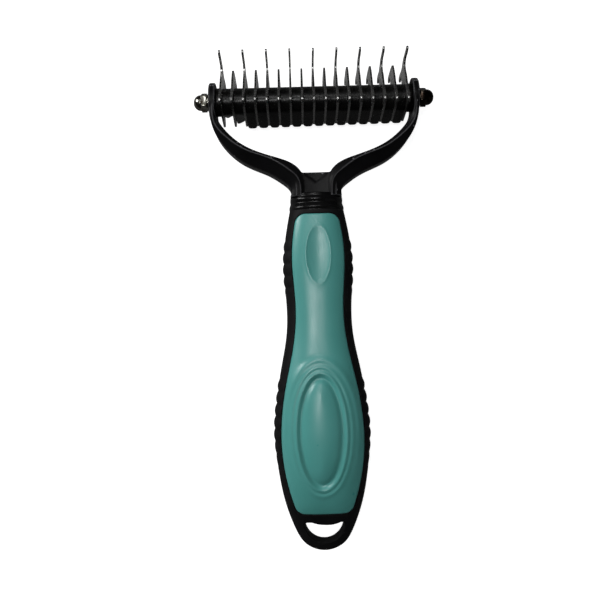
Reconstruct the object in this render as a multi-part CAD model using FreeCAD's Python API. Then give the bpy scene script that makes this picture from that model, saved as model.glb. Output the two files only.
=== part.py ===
import FreeCAD, Part

import math
import os

# Two-sided undercoat rake (deshedding tool), in millimetres.
# The tool lies on its back: +Y runs from the hanging loop to the head, +Z is up from the back panel
# to the front panel, and +X runs along the rod. Everything is first modelled about the rod's axis,
# with (X, Y, Z) measured from the middle of the rod, and is moved once, at the end, so that the
# origin is under the middle of the whole tool, on the surface that it lies on.

V = FreeCAD.Vector
X_AXIS = V(1, 0, 0)

# --- driving dimensions: the blade pack ---
PLATE_COUNT = 17            # every plate has a back tooth, every other one a long front hook too
PLATE_THICKNESS = 0.8
PITCH = 4.8                 # from one plate to the next along the rod
ROD_D = 4.0                 # M4
BORE_D = 4.1                # holes that the rod passes through
PACK_LEAN = 11.8            # degrees that the pack is tipped back from the handle's plane
PACK_TWIST = 0.36           # degrees from one plate to the next, because nothing keys them
BASE_HALF = 12.4            # half length of a plate's straight base edge, before its corners are rounded
BASE_DROP = 6.1             # base edge below the rod's axis
BASE_CORNER = 1.7
BASE_SLOPE = 62.0           # degrees between the base edge and the sides that rise from it
HUB_R = 5.6                 # round part of a spacer
TAIL_AT = (-11.2, -4.8)     # centre of a spacer's rounded tail end (forward, up), with the plate upright
TAIL_R = 1.5
SPACER_EDGE = 0.35
SPACER_TURNS = {1: 34.0, 2: 17.0}   # the first two spacers have slipped round the rod by this much

# --- driving dimensions: yoke, nuts ---
EAR_IN = 40.8               # inner and outer face of each ear, from the middle
EAR_OUT = 43.5
EAR_R = 8.0
SIDE_PLAY = 0.05            # between what turns and what doesn't
WASHER_R = 4.0
WASHER_THICKNESS = 0.6
NUT_AF = 7.0                # low cap nut, M4
NUT_HEX = 2.8
NUT_DOME_R = 3.25
NUT_HEIGHT = 6.1
NUT_BEVEL = (2.6, 0.1, 0.35)    # bevel cone: its length, and how far inside the flats and above them it ends
NUT_STEP = 0.3              # the dome rises straight by this much before it curves
NUT_DOME_BULGE = (0.8, 0.66)    # the curve passes through these shares of the dome's height and radius
NUT_TIP_R = 0.5             # small flat on the dome's top
NUT_HOLE_DEPTH = 4.6
ROD_SHORT = 0.3             # from the rod's end to the bottom of the nut's hole
BUSH_R = 5.8

# --- driving dimensions: handle, as distances below the rod ---
COLLAR_TOP = -39.6
COLLAR_TOP_HALF = (10.7, 8.6)       # half width and half thickness at the collar's top
COLLAR_HALF = (10.8, 8.8)           # and between its rings
COLLAR_RINGS = (-42.0, -44.9)
RING_PROFILE = ((1.2, 0.0), (0.55, 0.7), (-0.55, 0.7), (-1.2, 0.0))  # (distance from a ring's middle, height)
RING_SIDE = 0.2             # share of that height that a ring has at its sides
GRIP_TOP = -46.8
GRIP_END = -188.8
CORE_TOP = -48.0
CORE_END = -169.5
SHANK_END = -78.0
SHANK_HALF_X = 6.8
SHANK_HALF_Z = 4.4
PIN_AT = -70.0
PIN_R = 2.0
PIN_HALF = 10.0
SKIN_SIDE = 3.3             # from the grip's side to the core
SKIN_FACE = 2.8             # from the panel's face to the core
LOOP_TOP = -175.7           # flat edge of the hanging hole
LOOP_HALF = 8.2
LOOP_DEPTH = 8.9
LOOP_CORNER = 1.2

# Grip sections: (distance below the rod, half width, half thickness).
GRIP = [
    (GRIP_TOP, 11.3, 9.4),
    (-56.0, 13.1, 10.2),
    (-68.0, 14.4, 10.5),
    (-86.0, 13.6, 10.6),
    (-100.0, 14.2, 11.4),
    (-113.0, 16.7, 13.0),
    (-126.0, 18.8, 14.3),
    (-139.0, 19.9, 14.9),
    (-152.0, 19.0, 14.3),
    (-164.0, 17.1, 11.9),
    (-171.0, 15.3, 9.3),
    (-176.5, 13.4, 6.4),
    (-181.5, 11.2, 5.2),
    (-186.0, 7.8, 4.4),
    (GRIP_END, 2.6, 3.6),
]
CORE_SECTIONS = 11           # the core follows this many of them
# Outline of the panels: (distance below the rod, half width).
PANEL = [
    (-49.3, 7.5),
    (-52.0, 9.0),
    (-58.0, 10.2),
    (-67.0, 10.8),
    (-86.0, 9.8),
    (-104.0, 11.4),
    (-116.0, 14.0),
    (-138.0, 16.9),
    (-156.0, 15.4),
    (-166.0, 12.9),
    (-170.1, 10.9),
]
PANEL_TOP = -48.6
PANEL_TOP_FLAT = 5.4        # half length of the straight stretch at each end of the panel
PANEL_END = -171.4
PANEL_END_FLAT = 8.0
THUMB_AT = -65.4
THUMB_HALF = (4.9, 11.4)
THUMB_DEPTH = 1.0
THUMB_FACE = 10.6           # height of the panel's face round it

# One arm of the yoke, from the ear to the hub. Each station has its inner and outer edge (X, Y)
# and the half depth (Z) at the inner edge, at the ridge just outside it, and at the outer edge.
RIDGE_IN = 1.3
RIDGE_SHARE = 0.5           # the ridge is at most this share of the arm's width from its inner edge
ARM = [
    ((EAR_IN, 1.0), (EAR_OUT, 1.0), (7.9, 7.95, 7.9)),
    ((EAR_IN, -5.8), (EAR_OUT - 0.3, -5.8), (7.6, 8.0, 7.6)),
    ((39.3, -9.6), (42.3, -10.9), (6.6, 8.0, 6.6)),
    ((34.4, -15.6), (38.6, -18.2), (6.0, 8.0, 5.0)),
    ((26.6, -20.9), (30.2, -26.0), (5.6, 8.0, 3.6)),
    ((16.8, -24.5), (20.2, -30.7), (5.6, 8.0, 3.4)),
    ((8.7, -28.0), (14.4, -34.2), (5.8, 8.0, 4.4)),
    ((5.4, -32.6), (11.0, -37.2), (6.2, 8.0, 5.4)),
    ((5.5, -40.9), (10.6, -41.1), (6.4, 8.0, 5.8)),
]
HUB_TOP = -31.2
HUB_TOP_HALF = 5.8
HUB_HALF = 9.6
HUB_HALF_Z = 6.6
HUB_STRAIGHT = 2.0          # height of the hub's upright sides above the collar
OVAL_POWER = 2.5            # the handle's sections are superellipses of this power
OVAL_POINTS = 16
BEYOND = 1.0                # how far a drill runs past what it bores
REACH = 40.0                # half size of tools that cut everything on one side of a plane


def smooth(points, closed=False):
    """A smooth edge through the points."""
    curve = Part.BSplineCurve()
    curve.interpolate([V(*p) for p in points], PeriodicFlag=closed)
    return curve.toShape()


def line(a, b):
    return Part.LineSegment(V(*a), V(*b)).toShape()


def arc(a, b, c):
    return Part.Arc(V(*a), V(*b), V(*c)).toShape()


def side_point(forward, up):
    """A point of a plate seen from its side, in the plane X = 0."""
    return (0, up, forward)


def mirror_x(shape):
    return shape.mirror(V(0, 0, 0), X_AXIS)


def bar_x(radius, x0, x1):
    return Part.makeCylinder(radius, x1 - x0, V(x0, 0, 0), X_AXIS)


def base_corner(side):
    """Rounded end of the base edge: (end on the base, middle, end on the upright)."""
    slope = math.radians(BASE_SLOPE)
    reach = BASE_CORNER * math.tan((math.pi - slope) / 2)
    corner = (BASE_HALF, -BASE_DROP)
    on_base = (corner[0] - reach, corner[1])
    on_upright = (corner[0] - reach * math.cos(slope), corner[1] + reach * math.sin(slope))
    centre = (on_base[0], on_base[1] + BASE_CORNER)
    away = (corner[0] - centre[0], corner[1] - centre[1])
    size = math.hypot(*away)
    middle = (centre[0] + BASE_CORNER * away[0] / size, centre[1] + BASE_CORNER * away[1] / size)
    return [side_point(side * p[0], p[1]) for p in (on_base, middle, on_upright)]


def plate_outline(long_hook):
    """Side outline of a plate: wide base, waisted stem, back tooth and, on a long one, a front hook."""
    front_base, front_middle, front_side = base_corner(1)
    back_base, back_middle, back_side = base_corner(-1)
    if long_hook:
        front = [(9.0, -0.4), (7.2, 3.6), (5.8, 7.6), (4.0, 10.7)]
        front += [(3.6, 12.9), (5.2, 14.3), (8.8, 14.7), (11.9, 15.0)]
        top = [(12.3, 16.8), (9.4, 16.3), (5.0, 16.3), (1.4, 15.9)]
        top += [(-1.6, 14.9), (-4.2, 14.4), (-7.4, 14.8), (-10.4, 14.7)]
        front_tip = (13.0, 16.0)
    else:
        front = [(9.0, -0.4), (7.2, 3.6), (5.8, 7.6), (4.3, 10.6), (2.7, 13.0)]
        top = [(0.7, 13.9), (-1.6, 14.4), (-4.4, 14.6), (-7.4, 14.8), (-10.4, 14.7)]
        front_tip = (1.95, 13.75)
    back = [(-11.9, 12.6), (-8.9, 12.7), (-5.9, 12.0), (-4.9, 9.9), (-5.7, 7.0), (-7.2, 3.4), (-9.0, -0.4)]
    back_tip = (-12.3, 13.9)
    front_points = [side_point(*p) for p in front]
    top_points = [side_point(*p) for p in top]
    back_points = [side_point(*p) for p in back]
    edges = [
        line(back_base, front_base),
        arc(front_base, front_middle, front_side),
        smooth([front_side] + front_points),
        arc(front_points[-1], side_point(*front_tip), top_points[0]),
        smooth(top_points),
        arc(top_points[-1], side_point(*back_tip), back_points[0]),
        smooth(back_points + [back_side]),
        arc(back_side, back_middle, back_base),
    ]
    return Part.Wire(Part.__sortEdges__(edges))


def pack_angle(place):
    """Degrees that the pack is tipped back at a place along the rod, counted in plates from the middle."""
    return PACK_LEAN - PACK_TWIST * place


def set_on_rod(shape, place, extra=0.0):
    """Moves a part made at X = 0 to its place on the rod, tipped back with the pack."""
    shape.rotate(V(0, 0, 0), X_AXIS, -(pack_angle(place) - extra))
    shape.translate(V(place * PITCH, 0, 0))
    return shape


def blade(long_hook):
    """One stamped plate, centred on X = 0."""
    plate = Part.Face(plate_outline(long_hook)).extrude(V(PLATE_THICKNESS, 0, 0))
    plate.translate(V(-PLATE_THICKNESS / 2, 0, 0))
    return plate.cut(bar_x(BORE_D / 2, -PLATE_THICKNESS, PLATE_THICKNESS))


def spacer():
    """Cam-shaped spacer, centred on X = 0: a round hub with a tail along the plates' base edge."""
    width = PITCH - PLATE_THICKNESS
    reach = math.hypot(*TAIL_AT)
    spread = math.acos((HUB_R - TAIL_R) / reach)
    towards = math.atan2(TAIL_AT[1], TAIL_AT[0])

    def on_hub(angle):
        return side_point(HUB_R * math.cos(angle), HUB_R * math.sin(angle))

    def on_tail(angle):
        return side_point(TAIL_AT[0] + TAIL_R * math.cos(angle), TAIL_AT[1] + TAIL_R * math.sin(angle))

    upper, lower = towards - spread, towards + spread
    edges = [
        arc(on_hub(upper), on_hub(towards + math.pi), on_hub(lower)),
        line(on_hub(lower), on_tail(lower)),
        arc(on_tail(lower), on_tail(towards), on_tail(upper)),
        line(on_tail(upper), on_hub(upper)),
    ]
    solid = Part.Face(Part.Wire(Part.__sortEdges__(edges))).extrude(V(width, 0, 0))
    solid = rim_rounded(solid)
    solid.translate(V(-width / 2, 0, 0))
    return solid.cut(bar_x(BORE_D / 2, -width, width))


def rim_rounded(solid):
    """Rounds the edges that lie in the two end faces of a part extruded along X."""
    rims = [e for e in solid.Edges if e.BoundBox.XLength < 1e-6]
    return solid.makeFillet(SPACER_EDGE, rims)


def cap_nut():
    """Low domed hexagon nut that starts at X = 0 and points along +X, with a blind hole."""
    corner = NUT_AF / math.sqrt(3)
    points = [V(0, corner * math.cos(i * math.pi / 3), corner * math.sin(i * math.pi / 3)) for i in range(7)]
    hexagon = Part.Face(Part.makePolygon(points)).extrude(V(NUT_HEX, 0, 0))
    length, inside, above = NUT_BEVEL
    start = V(NUT_HEX + above - length, 0, 0)
    bevel = Part.makeCone(NUT_AF / 2 + length, NUT_AF / 2 - inside, length, start, X_AXIS)
    hexagon = hexagon.common(bevel)
    rise = NUT_HEIGHT - NUT_HEX
    rim = NUT_HEX + NUT_STEP
    bulge = (NUT_HEX + NUT_DOME_BULGE[0] * rise, NUT_DOME_BULGE[1] * NUT_DOME_R, 0)
    hole_r = BORE_D / 2
    profile = [
        line((0, hole_r, 0), (0, NUT_DOME_R, 0)),
        line((0, NUT_DOME_R, 0), (rim, NUT_DOME_R, 0)),
        arc((rim, NUT_DOME_R, 0), bulge, (NUT_HEIGHT, NUT_TIP_R, 0)),
        line((NUT_HEIGHT, NUT_TIP_R, 0), (NUT_HEIGHT, 0, 0)),
        line((NUT_HEIGHT, 0, 0), (NUT_HOLE_DEPTH, 0, 0)),
        line((NUT_HOLE_DEPTH, 0, 0), (NUT_HOLE_DEPTH, hole_r, 0)),
        line((NUT_HOLE_DEPTH, hole_r, 0), (0, hole_r, 0)),
    ]
    dome = Part.Face(Part.Wire(profile)).revolve(V(0, 0, 0), X_AXIS, 360)
    return hexagon.cut(bar_x(hole_r, -BEYOND, NUT_HOLE_DEPTH)).fuse(dome)


def ring_x(outer_r, inner_r, x0, x1):
    return bar_x(outer_r, x0, x1).cut(bar_x(inner_r, x0 - BEYOND, x1 + BEYOND))


def arm_section(inner, outer, depths):
    """Closed section of the arm: flat inside, a ridge near it front and back, thinner outside."""
    length = math.dist(inner, outer)
    ridge = [a + (b - a) * min(RIDGE_IN / length, RIDGE_SHARE) for a, b in zip(inner, outer)]
    half_in, half_ridge, half_out = depths
    ring = [
        (*inner, -half_in),
        (*inner, half_in),
        (*ridge, half_ridge),
        (*outer, half_out),
        (*outer, -half_out),
        (*ridge, -half_ridge),
    ]
    return Part.makePolygon([V(*p) for p in ring + ring[:1]])


def yoke():
    """Wishbone fork with two bored ears, a webbed hub and the shank that goes into the handle."""
    arm = Part.makeLoft([arm_section(*station) for station in ARM], True, False)
    ear = bar_x(EAR_R, EAR_IN, EAR_OUT)
    shoulder = COLLAR_TOP + HUB_STRAIGHT
    hub_right = [V(HUB_TOP_HALF, HUB_TOP, 0), V(HUB_HALF, shoulder, 0), V(HUB_HALF, COLLAR_TOP, 0)]
    hub_left = [V(-p.x, p.y, 0) for p in reversed(hub_right)]
    hub_outline = Part.makePolygon(hub_right + hub_left + hub_right[:1])
    hub = Part.Face(hub_outline).extrude(V(0, 0, 2 * HUB_HALF_Z))
    hub.translate(V(0, 0, -HUB_HALF_Z))
    shank = block(SHANK_HALF_X, SHANK_END, COLLAR_TOP, SHANK_HALF_Z)
    below = block(REACH, SHANK_END - REACH, COLLAR_TOP, REACH)
    fork = arm.fuse([mirror_x(arm), ear, mirror_x(ear), hub]).cut(below)
    whole = fork.fuse(shank).removeSplitter()
    whole = whole.cut(bar_x(BORE_D / 2, -EAR_OUT - BEYOND, EAR_OUT + BEYOND))
    return whole.cut(pin_bar(PIN_HALF))


def block(half_x, y0, y1, half_z):
    return Part.makeBox(2 * half_x, y1 - y0, 2 * half_z, V(-half_x, y0, -half_z))


def pin_bar(half):
    return Part.makeCylinder(PIN_R, 2 * half, V(-half, PIN_AT, 0), X_AXIS)


def oval_section(y, half_x, half_z):
    """Closed rounded-rectangle section across the handle (a superellipse)."""
    power = 2 / OVAL_POWER
    points = []
    for i in range(OVAL_POINTS):
        angle = (i + 0.5) * 2 * math.pi / OVAL_POINTS
        c, s = math.cos(angle), math.sin(angle)
        x = half_x * math.copysign(abs(c) ** power, c)
        z = half_z * math.copysign(abs(s) ** power, s)
        points.append((x, y, z))
    return Part.Wire(smooth(points, closed=True))


def handle_loft(sections, less_x=0.0, less_z=0.0):
    wires = [oval_section(y, half_x - less_x, half_z - less_z) for y, half_x, half_z in sections]
    return Part.makeLoft(wires, True, False)


def panel_prism():
    """Prism over the panel's outline, from the middle plane upwards."""
    right = [V(half, y, 0) for y, half in PANEL]
    top, top_end = V(PANEL_TOP_FLAT, PANEL_TOP, 0), V(PANEL_END_FLAT, PANEL_END, 0)
    side = Part.BSplineCurve()
    side.interpolate([top] + right + [top_end])
    right_side = side.toShape()
    edges = [
        right_side,
        line((PANEL_END_FLAT, PANEL_END, 0), (-PANEL_END_FLAT, PANEL_END, 0)),
        mirror_x(right_side),
        line((-PANEL_TOP_FLAT, PANEL_TOP, 0), (PANEL_TOP_FLAT, PANEL_TOP, 0)),
    ]
    return Part.Face(Part.Wire(Part.__sortEdges__(edges))).extrude(V(0, 0, REACH))


def handle_parts():
    """Core, grip frame and the two panels, cut out of one outer shape."""
    outer = handle_loft(GRIP)
    body = handle_loft(GRIP[:CORE_SECTIONS], SKIN_SIDE, SKIN_FACE)
    core_solid = body.common(block(REACH, CORE_END, CORE_TOP, REACH))
    prism = panel_prism()
    back_prism = prism.mirror(V(0, 0, 0), V(0, 0, 1))
    shank_room = block(SHANK_HALF_X, SHANK_END, 0, SHANK_HALF_Z)
    core = core_solid.cut(shank_room).cut(pin_bar(PIN_HALF))
    front = outer.common(prism).cut([core_solid, shank_room, thumb_hollow()])
    back = front.mirror(V(0, 0, 0), V(0, 0, 1))
    grip = outer.cut([core_solid, prism, back_prism, shank_room, loop_hole()])
    return core, grip, front, back


def thumb_hollow():
    """Long shallow ellipsoid that hollows the panel for the thumb. The face cuts it halfway down."""
    ball = Part.makeSphere(1.0)
    widen = 1 / math.cos(math.asin(0.5))
    stretch = FreeCAD.Matrix()
    stretch.scale(THUMB_HALF[0] * widen, THUMB_HALF[1] * widen, 2 * THUMB_DEPTH)
    hollow = ball.transformGeometry(stretch)
    hollow.translate(V(0, THUMB_AT, THUMB_FACE + THUMB_DEPTH))
    return hollow


def loop_hole():
    """D-shaped hanging hole, flat towards the head."""
    top, bottom = LOOP_TOP, LOOP_TOP - LOOP_DEPTH
    flat_half, shoulder = LOOP_HALF - LOOP_CORNER, top - LOOP_CORNER
    bend = LOOP_CORNER * (1 - math.sqrt(0.5))
    edges = [
        line((-flat_half, top, 0), (flat_half, top, 0)),
        arc((flat_half, top, 0), (LOOP_HALF - bend, top - bend, 0), (LOOP_HALF, shoulder, 0)),
        arc((LOOP_HALF, shoulder, 0), (0, bottom, 0), (-LOOP_HALF, shoulder, 0)),
        arc((-LOOP_HALF, shoulder, 0), (-LOOP_HALF + bend, top - bend, 0), (-flat_half, top, 0)),
    ]
    hole = Part.Face(Part.Wire(edges)).extrude(V(0, 0, 2 * REACH))
    hole.translate(V(0, 0, -REACH))
    return hole


def neck_collar():
    """Black collar round the shank, between the yoke's hub and the grip, with two raised rings."""
    sections = [(COLLAR_TOP, *COLLAR_TOP_HALF)]
    for ring_at in COLLAR_RINGS:
        for away, more in RING_PROFILE:
            sections.append((ring_at + away, COLLAR_HALF[0] + RING_SIDE * more, COLLAR_HALF[1] + more))
    sections.append(GRIP[0])
    collar = Part.makeLoft([oval_section(*section) for section in sections], True, True)
    return collar.cut(block(SHANK_HALF_X, SHANK_END, 0, SHANK_HALF_Z))


def blade_pack():
    """Plates and spacers on the rod, with its bushes, washers and nuts."""
    parts = {}
    half = PLATE_COUNT // 2
    long_plate, short_plate = blade(True), blade(False)
    for index in range(PLATE_COUNT):
        place = index - half
        is_long = index % 2 == 0
        name = f"blade_long_{index // 2 + 1}" if is_long else f"blade_short_{index // 2 + 1}"
        parts[name] = set_on_rod((long_plate if is_long else short_plate).copy(), place)
    one_spacer = spacer()
    for number in range(1, PLATE_COUNT):
        place = number - 0.5 - half
        parts[f"spacer_{number}"] = set_on_rod(one_spacer.copy(), place, SPACER_TURNS.get(number, 0.0))
    pack_end = half * PITCH + PLATE_THICKNESS / 2
    washer_in = EAR_OUT + SIDE_PLAY
    nut_in = washer_in + WASHER_THICKNESS
    nut = cap_nut()
    nut.translate(V(nut_in, 0, 0))
    right = {
        "end_bush": ring_x(BUSH_R, BORE_D / 2, pack_end, EAR_IN - SIDE_PLAY),
        "nut_washer": ring_x(WASHER_R, BORE_D / 2, washer_in, nut_in),
        "cap_nut": nut,
    }
    for name, shape in right.items():
        parts[f"{name}_right"] = shape
        parts[f"{name}_left"] = mirror_x(shape)
    rod_end = nut_in + NUT_HOLE_DEPTH - ROD_SHORT
    parts["threaded_rod"] = bar_x(ROD_D / 2, -rod_end, rod_end)
    return parts


def assemble():
    core, grip, front, back = handle_parts()
    parts = blade_pack()
    parts["yoke"] = yoke()
    parts["neck_collar"] = neck_collar()
    parts["shank_pin"] = pin_bar(PIN_HALF)
    parts["handle_core"] = core
    parts["grip_frame"] = grip
    parts["front_panel"] = front
    parts["back_panel"] = back
    return parts


def main():
    parts = assemble()
    whole = FreeCAD.BoundBox()
    for shape in parts.values():
        whole.add(shape.optimalBoundingBox(False, False))
    move = V(-whole.Center.x, -whole.Center.y, -whole.ZMin)
    os.makedirs("parts", exist_ok=True)
    for name, shape in sorted(parts.items()):
        shape.translate(move)
        solids = shape.Solids
        if len(solids) == 1:
            shape = solids[0]
        print(f"{name:16s} solids {len(solids)} valid {shape.isValid()} volume {shape.Volume:9.1f}")
        shape.exportStep(f"parts/{name}.step")
    print(f"size {whole.XLength:.2f} x {whole.YLength:.2f} x {whole.ZLength:.2f}")
    print(f"rod axis at ({move.x:.4f}, {move.y:.4f}, {move.z:.4f})")


main()
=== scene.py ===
"""Looks of a two-sided undercoat rake (deshedding tool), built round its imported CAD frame.

Lengths here are millimetres measured from the middle of the blade rod: X along the rod, Y from the
hanging loop to the head, Z up from the back panel to the front one. place() turns them into metres
in the frame. Distances along the handle are negative, because the handle lies below the rod.
"""
import math

import bmesh
import bpy
import numpy as np
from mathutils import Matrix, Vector


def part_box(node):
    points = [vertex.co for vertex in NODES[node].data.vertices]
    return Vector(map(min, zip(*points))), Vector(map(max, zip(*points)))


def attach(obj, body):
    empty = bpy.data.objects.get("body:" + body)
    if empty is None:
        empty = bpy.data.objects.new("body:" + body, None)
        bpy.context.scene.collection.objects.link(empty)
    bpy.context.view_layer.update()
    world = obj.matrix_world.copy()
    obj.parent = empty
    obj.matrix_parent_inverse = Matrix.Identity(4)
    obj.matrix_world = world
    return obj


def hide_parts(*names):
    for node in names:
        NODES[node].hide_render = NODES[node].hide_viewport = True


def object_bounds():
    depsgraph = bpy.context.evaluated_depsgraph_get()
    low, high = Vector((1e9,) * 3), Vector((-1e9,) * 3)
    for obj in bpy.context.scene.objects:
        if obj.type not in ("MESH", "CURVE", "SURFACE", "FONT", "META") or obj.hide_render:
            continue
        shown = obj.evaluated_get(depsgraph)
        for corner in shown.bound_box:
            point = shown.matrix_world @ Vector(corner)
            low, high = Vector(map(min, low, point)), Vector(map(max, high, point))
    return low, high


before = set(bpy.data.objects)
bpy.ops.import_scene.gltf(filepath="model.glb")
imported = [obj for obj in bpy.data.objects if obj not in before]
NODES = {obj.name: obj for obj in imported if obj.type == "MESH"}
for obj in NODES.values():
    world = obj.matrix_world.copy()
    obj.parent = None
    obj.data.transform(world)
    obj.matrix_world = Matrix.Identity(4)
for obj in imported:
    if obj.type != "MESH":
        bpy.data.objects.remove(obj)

MM = 0.001
WELD = 0.002                 # points closer than this are merged
TINY = 1e-6                  # keeps a division from being by zero
CAD_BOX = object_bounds()
ROD_LOW, ROD_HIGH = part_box("threaded_rod")
ROD = (ROD_LOW + ROD_HIGH) / 2

# --- handle: (distance below the rod, half width, half thickness), as the CAD grip has them ---
HANDLE = [
    (-46.8, 11.3, 9.4),
    (-56.0, 13.1, 10.2),
    (-68.0, 14.4, 10.5),
    (-86.0, 13.6, 10.6),
    (-100.0, 14.2, 11.4),
    (-113.0, 16.7, 13.0),
    (-126.0, 18.8, 14.3),
    (-139.0, 19.9, 14.9),
    (-152.0, 19.0, 14.3),
    (-164.0, 17.1, 11.9),
    (-171.0, 15.3, 9.3),
    (-176.5, 13.4, 6.4),
    (-181.5, 11.2, 5.2),
    (-186.0, 7.8, 4.4),
    (-188.8, 0.0, 3.6),
]
HANDLE_TOP = HANDLE[0][0]
HANDLE_END = HANDLE[-1][0]
ROUND_FROM = -176.5          # below this the end is round about a point on the axis
ROUNDNESS = 2.5              # power of the oval sections
# --- panels: (distance below the rod, half width) of their sides, before the corners are rounded ---
PANEL = [
    (-48.6, 8.6),
    (-52.0, 9.25),
    (-58.0, 10.2),
    (-67.0, 10.8),
    (-86.0, 9.8),
    (-104.0, 11.4),
    (-116.0, 14.0),
    (-138.0, 16.9),
    (-156.0, 15.4),
    (-166.0, 12.9),
    (-171.4, 11.2),
]
PANEL_TOP = PANEL[0][0]
PANEL_END = PANEL[-1][0]
PANEL_CORNERS = (3.4, 2.8)   # radii at the top and the end
PANEL_THICKNESS = 1.7
PANEL_EDGE = 0.55            # radius of the panel's rim
GRIP_LIP = 0.4               # radius of the grip's lip round the panel
SEAM = 0.06                  # half of the gap between them
RECESS = 2.2                 # depth of the grip under the panel
PANEL_END_ROWS = (0.0, 0.04, 0.12, 0.24, 0.4, 0.58, 0.8, 1.1)  # distances of rows from its top and end
PANEL_SIDE_COLUMNS = (0.0, 0.02, 0.07, 0.15, 0.26, 0.4, 0.6)   # distances of columns from its sides
PANEL_SIDE_SHARE = 0.45      # which together take up at most this share of its half width
PANEL_COLUMNS = 99           # columns between them
ROW_STEP = 0.34              # usual distance between rows down the handle
# --- relief of the panels ---
THUMB_AT = -65.3
THUMB_HALF = (4.9, 11.4)
THUMB_DEPTH = 0.88
THUMB_SOFTNESS = 0.1         # how softly it runs into the panel
THUMB_RIM = 0.1              # how much its rim stands proud
THUMB_RIM_AT = 1.05          # where the rim is, as a share of the hollow's half sizes
THUMB_RIM_SPREAD = 0.5
PALM_AT = (-0.5, -137.1)
PALM_HALF = (8.3, 21.5)      # middle of the groove round the dome
PALM_STRETCH = 1.1           # how much faster the outer ovals grow along the handle than across
PALM_DOME = (0.45, 1.1)      # height of the dome's top, and how much lower its edge is
# Rounds of the palm relief: (half width, height, how far it spreads); half widths grow outwards.
PALM_ROUNDS = [(8.3, -0.42, 1.2), (10.35, 0.24, 0.75), (11.5, -0.14, 0.6), (12.5, 0.26, 1.05)]
PALM_WALL = (8.3, 10.3)      # the groove's outer wall
PALM_CREST = (15.2, 0.42, 1.3)       # the outermost, which fades out down the handle
PALM_CREST_FADE = (-168.0, -124.0)
PALM_LEAST_LONG = 0.6        # an oval's half length is at least this many times its half width
PALM_SEARCH = (0.05, 60.0)   # half widths between which a point's oval is looked for
PALM_HALVINGS = 30
# --- ribs on the grip's sides: (first, last, pitch, height, length over which they fade out below) ---
RIBS = [(-61.1, -76.1, 5.0, 0.55, 8.0), (-118.8, -134.5, 5.2, 0.66, 24.0)]
RIB_START = 4.0              # length over which they fade in above the first
RIB_POWER = 0.9              # below 1 the ribs are broad and the grooves between them narrow
RIB_SINK = 0.35              # share of their height that lies under the plain surface
RIB_FADE = (0.5, 0.93)       # they fade out between these shares of the thickness
# --- mesh of the grip ---
LIP_STEPS = (1.0, 0.75, 0.5, 0.28, 0.1, 0.0)   # rows and columns over the lip, as shares of its radius
WALL_STEP = 0.03             # from the lip's foot to the first row under the panel
NECK_STEP = 0.3              # between rows above the panel
CORNER_STEP = 0.12           # between rows at the panel's corners
CORNER_LENGTH = 3.2          # length of the closer rows there
ROUND_END_ROWS = 44
SIDE_COLUMNS = 44
FLOOR_COLUMNS = 26
FLOOR_FROM = 0.004           # angle that sets the first floor column just inside the wall
WALL_MOST = 0.9              # the panel's edge is at most at this share of the half width
LIP_MOST = 0.995             # and the lip's outer edge at this one
SLANT_MOST = 2.5
# --- hanging hole ---
LOOP_TOP = -175.7
LOOP_HALF = 8.2
LOOP_DEPTH = 8.9
LOOP_CORNER = 1.2
LOOP_RIM = 1.0
LOOP_RIM_SWEEP = math.radians(68)    # how far round the rim's quarter circle goes
LOOP_RIM_STEPS = 9
LOOP_ARC_POINTS = 73
LOOP_CORNER_POINTS = 12
LOOP_FLAT_POINTS = 25
BEYOND = 2.0                 # how far cutting tools stand out of what they cut
# --- collar ---
COLLAR_TOP = -39.6
COLLAR_RINGS = (-42.3, -45.3)
COLLAR_HALF = (10.75, 8.4)
COLLAR_ROUNDNESS = 2.08      # it is nearly elliptical at its top
COLLAR_EDGE = 0.6
COLLAR_MEET = 4.5            # length over which the collar widens to the grip, from the first ring on
COLLAR_STEPS = (0.07, 0.14)  # between its rows, over its rounded top and below
COLLAR_FINE = 0.7            # length of the closer rows
COLLAR_OVERLAP = 1.0         # how far it reaches into the grip
RING_HEIGHT = 0.6
RING_HALF_WIDTH = 1.5
RING_POWER = 1.7             # above 1 the rings are narrow at their crests
RING_SIDE = 0.3              # share of their height that they have at the sides
# --- yoke ---
EAR_IN = 40.8
EAR_OUT = 43.5
EAR_R = 8.0
EAR_EDGE = 0.6
BORE_R = 2.05
RIDGE_STEP = (0.45, 0.8)     # the ridge's outer side: how far it runs out, and how far down
RIDGE_FADE = (0.72, 0.92)    # the step goes down to a third between these shares of the arm's length
EAR_CHAMFER = 0.25
EAR_COLUMNS = 96
BORE_COLUMNS = 64
ARM_RADII = (0.5, 0.25, 0.3, 0.9)    # at the inner edge, the ridge, its foot and the outer edge
ARM_ROWS = 110
# One arm from ear to hub: inner (X, Y), outer (X, Y), half depths at inner edge, ridge, outer edge,
# and how far the ridge is from the inner edge.
ARM = [
    ((EAR_IN, 1.0), (EAR_OUT, 1.0), (7.9, 7.95, 7.9), 1.3),
    ((EAR_IN, -5.8), (EAR_OUT - 0.3, -5.8), (7.6, 8.0, 7.4), 1.3),
    ((39.3, -9.6), (42.3, -10.9), (6.6, 8.0, 6.6), 2.0),
    ((34.4, -15.6), (38.6, -18.2), (6.4, 8.0, 5.4), 1.85),
    ((26.6, -20.9), (30.2, -26.0), (6.4, 8.0, 4.4), 1.45),
    ((16.8, -24.5), (20.2, -30.7), (6.4, 8.0, 4.2), 1.6),
    ((8.7, -28.0), (14.4, -34.2), (6.4, 7.9, 4.8), 3.2),
    ((5.4, -32.6), (11.0, -37.2), (6.6, 7.6, 5.4), 2.4),
    ((5.5, -40.9), (10.6, -41.1), (6.8, 7.4, 5.8), 0.9),
]
HUB_TOP = -31.2
HUB_HALF = 8.4
HUB_HALF_Z = 7.0
HUB_SAG = 0.45               # the web is hollow between the arms by this much
HUB_NOTCH = -36.1            # lowest point of the V-shaped hollow in the hub
HUB_NOTCH_DEPTH = 0.4
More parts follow.
